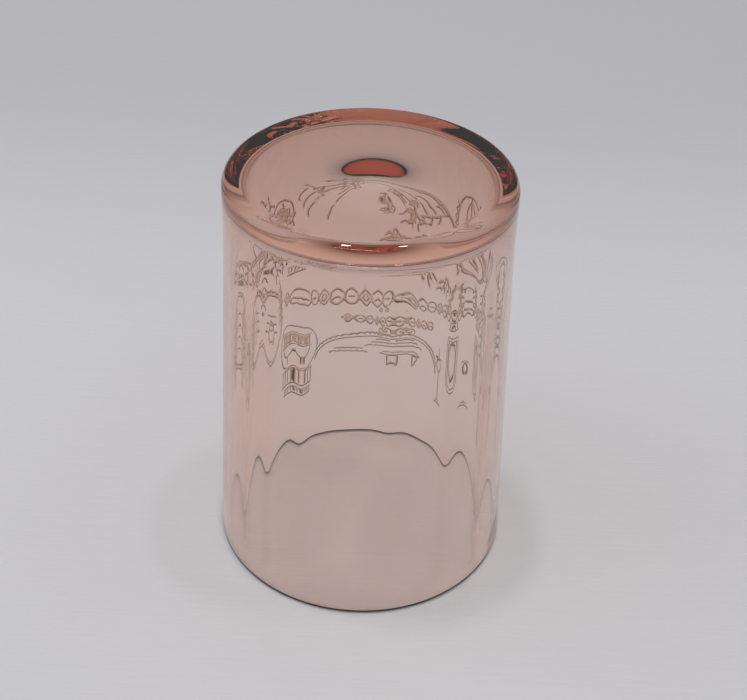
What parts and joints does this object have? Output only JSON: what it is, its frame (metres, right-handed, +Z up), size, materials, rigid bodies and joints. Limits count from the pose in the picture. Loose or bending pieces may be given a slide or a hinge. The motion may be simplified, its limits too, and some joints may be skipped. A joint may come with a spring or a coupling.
{
  "type": "shot glass",
  "caption": "Pink one-piece drinking glass for a single measure, standing mouth down: thick rounded base, thin slightly flared wall, fine line ornament round the outside.",
  "frame": {"origin": "centre of the rim's circle on the surface it stands on, with the glass mouth down", "axes": "+Z up along the glass's own axis, from the mouth towards the base; -Y faces the viewer, and the boat in the ornament is on the far side, +Y"},
  "size_m": [0.0426, 0.0426, 0.06],
  "materials": {
    "pink_glass": "clear body-tinted pink glass, fire-polished"
  },
  "bodies": {
    "root": {"glass_body": "pink_glass"}
  },
  "joints": []
}
